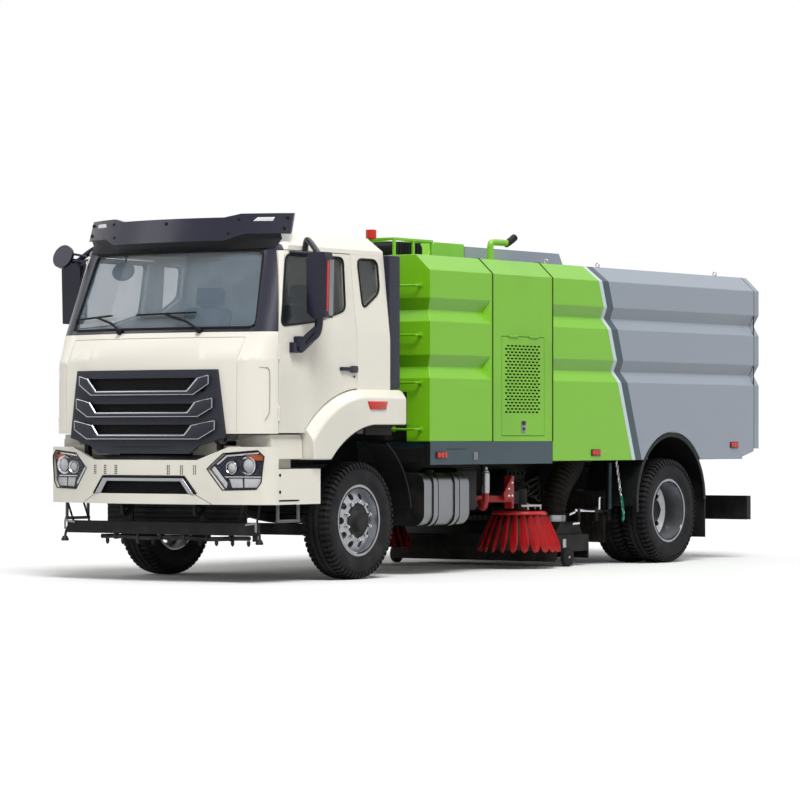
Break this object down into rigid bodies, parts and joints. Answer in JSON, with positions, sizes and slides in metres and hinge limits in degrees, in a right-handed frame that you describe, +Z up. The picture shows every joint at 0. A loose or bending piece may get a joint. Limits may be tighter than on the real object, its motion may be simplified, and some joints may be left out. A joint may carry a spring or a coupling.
{
  "type": "street sweeper truck",
  "caption": "Two-axle tilt-cab street sweeper truck with a cream cab, green folded-panel body, tipping dirt hopper, lifting tailgate and red side brushes.",
  "frame": {"origin": "on the ground under the middle of the truck's overall box", "axes": "-Y towards the cab's front, +X towards the truck's left side, +Z up"},
  "size_m": [2.904, 8.2553, 3.1],
  "materials": {
    "chassis_black": "satin",
    "cast_iron": "rough",
    "cab_paint": "gloss",
    "lamp": "clear",
    "black_plastic": "satin",
    "aluminium": "brushed",
    "body_green": "gloss",
    "body_grey": "gloss",
    "skirt_grey": "satin",
    "hose_rubber": "matte",
    "glass": "clear",
    "interior": "matte",
    "seat_fabric": "woven",
    "wheel_steel": "satin",
    "tyre": "matte",
    "brush_red": "satin"
  },
  "bodies": {
    "chassis": {"frame_rails": "chassis_black", "cross_members": "chassis_black", "front_axle": "chassis_black", "rear_axle": "chassis_black", "leaf_springs": "chassis_black", "engine": "cast_iron", "bumper": "cab_paint", "lamps": "lamp", "steps": "cab_paint", "guards": "chassis_black", "mudguards": "black_plastic", "rear_mudguard_left": "black_plastic", "rear_mudguard_right": "black_plastic", "side_tanks": "aluminium", "water_tank": "body_green", "skirts": "skirt_grey", "engine_housing": "body_green", "aux_engine": "cast_iron", "roof_fittings": "body_green", "suction_nozzle": "chassis_black", "suction_hose": "hose_rubber"},
    "cab": {"cab_front": "cab_paint", "cab_roof": "cab_paint", "cab_back": "cab_paint", "cab_floor": "chassis_black", "fenders": "cab_paint", "cab_glass": "glass", "grille": "black_plastic", "sun_visor": "black_plastic", "air_intake": "black_plastic", "dashboard": "interior", "seats": "seat_fabric"},
    "hopper": {"hopper_floor": "body_green", "hopper_sides": "body_green", "hopper_roof": "body_green"},
    "tailgate": {"tailgate": "body_grey"},
    "door_left": {"door_left": "cab_paint", "door_glass_left": "glass", "mirror_left": "black_plastic"},
    "knuckle_left": {"knuckle_left": "chassis_black"},
    "wheel_front_left": {"tyre_front_left": "tyre", "rim_front_left": "wheel_steel"},
    "wheels_rear_left": {"tyres_rear_left": "tyre", "rims_rear_left": "wheel_steel"},
    "engine_door_left": {"engine_door_left": "body_green"},
    "brush_arm_left": {"brush_arm_left": "brush_red"},
    "brush_head_left": {"brush_motor_left": "chassis_black"},
    "brush_left": {"brush_left": "brush_red"},
    "door_right": {"door_right": "cab_paint", "door_glass_right": "glass", "mirror_right": "black_plastic"},
    "knuckle_right": {"knuckle_right": "chassis_black"},
    "wheel_front_right": {"tyre_front_right": "tyre", "rim_front_right": "wheel_steel"},
    "wheels_rear_right": {"tyres_rear_right": "tyre", "rims_rear_right": "wheel_steel"},
    "engine_door_right": {"engine_door_right": "body_green"},
    "brush_arm_right": {"brush_arm_right": "brush_red"},
    "brush_head_right": {"brush_motor_right": "chassis_black"},
    "brush_right": {"brush_right": "brush_red"}
  },
  "joints": [
    {"name": "cab_tilt", "type": "hinge", "parent": "chassis", "child": "cab", "pos_m": [0, -3.978, 1.2], "axis": [1, 0, 0], "range_deg": [0, 50]},
    {"name": "hopper_tip", "type": "hinge", "parent": "chassis", "child": "hopper", "pos_m": [0, 3.642, 0.9], "axis": [-1, 0, 0], "range_deg": [0, 45]},
    {"name": "tailgate_lift", "type": "hinge", "parent": "hopper", "child": "tailgate", "pos_m": [0, 4.035, 2.83], "axis": [1, 0, 0], "range_deg": [0, 75]},
    {"name": "door_left_swing", "type": "hinge", "parent": "cab", "child": "door_left", "pos_m": [1.166, -3.745, 1.675], "axis": [0, 0, -1], "range_deg": [0, 70]},
    {"name": "steer_left", "type": "hinge", "parent": "chassis", "child": "knuckle_left", "pos_m": [0.86, -2.558, 0.506], "axis": [0, 0, 1], "range_deg": [-36, 36]},
    {"name": "wheel_front_left_spin", "type": "hinge", "parent": "knuckle_left", "child": "wheel_front_left", "pos_m": [1.01, -2.558, 0.506], "axis": [1, 0, 0], "continuous": true},
    {"name": "wheels_rear_left_spin", "type": "hinge", "parent": "chassis", "child": "wheels_rear_left", "pos_m": [0.934, 2.442, 0.506], "axis": [1, 0, 0], "continuous": true},
    {"name": "engine_door_left_lift", "type": "hinge", "parent": "chassis", "child": "engine_door_left", "pos_m": [1.25, -0.1905, 2.133], "axis": [0, -1, 0], "range_deg": [0, 80]},
    {"name": "brush_swing_left", "type": "hinge", "parent": "chassis", "child": "brush_arm_left", "pos_m": [0.6, -0.258, 0.65], "axis": [0, 0, -1], "range_deg": [0, 35]},
    {"name": "brush_lower_left", "type": "slide", "parent": "brush_arm_left", "child": "brush_head_left", "axis": [0, 0, -1], "range_m": [0, 0.11]},
    {"name": "brush_spin_left", "type": "hinge", "parent": "brush_head_left", "child": "brush_left", "pos_m": [0.85, 0.352, 0.5], "axis": [0, 0, 1], "continuous": true},
    {"name": "door_right_swing", "type": "hinge", "parent": "cab", "child": "door_right", "pos_m": [-1.166, -3.745, 1.675], "axis": [0, 0, 1], "range_deg": [0, 70]},
    {"name": "steer_right", "type": "hinge", "parent": "chassis", "child": "knuckle_right", "pos_m": [-0.86, -2.558, 0.506], "axis": [0, 0, 1], "range_deg": [-36, 36]},
    {"name": "wheel_front_right_spin", "type": "hinge", "parent": "knuckle_right", "child": "wheel_front_right", "pos_m": [-1.01, -2.558, 0.506], "axis": [1, 0, 0], "continuous": true},
    {"name": "wheels_rear_right_spin", "type": "hinge", "parent": "chassis", "child": "wheels_rear_right", "pos_m": [-0.934, 2.442, 0.506], "axis": [1, 0, 0], "continuous": true},
    {"name": "engine_door_right_lift", "type": "hinge", "parent": "chassis", "child": "engine_door_right", "pos_m": [-1.25, -0.1905, 2.133], "axis": [0, 1, 0], "range_deg": [0, 80]},
    {"name": "brush_swing_right", "type": "hinge", "parent": "chassis", "child": "brush_arm_right", "pos_m": [-0.6, -0.258, 0.65], "axis": [0, 0, 1], "range_deg": [0, 35]},
    {"name": "brush_lower_right", "type": "slide", "parent": "brush_arm_right", "child": "brush_head_right", "axis": [0, 0, -1], "range_m": [0, 0.11]},
    {"name": "brush_spin_right", "type": "hinge", "parent": "brush_head_right", "child": "brush_right", "pos_m": [-0.85, 0.352, 0.5], "axis": [0, 0, 1], "continuous": true}
  ],
  "couplings": [
    {"joint": "steer_right", "follows": "steer_left", "ratio": 1}
  ]
}
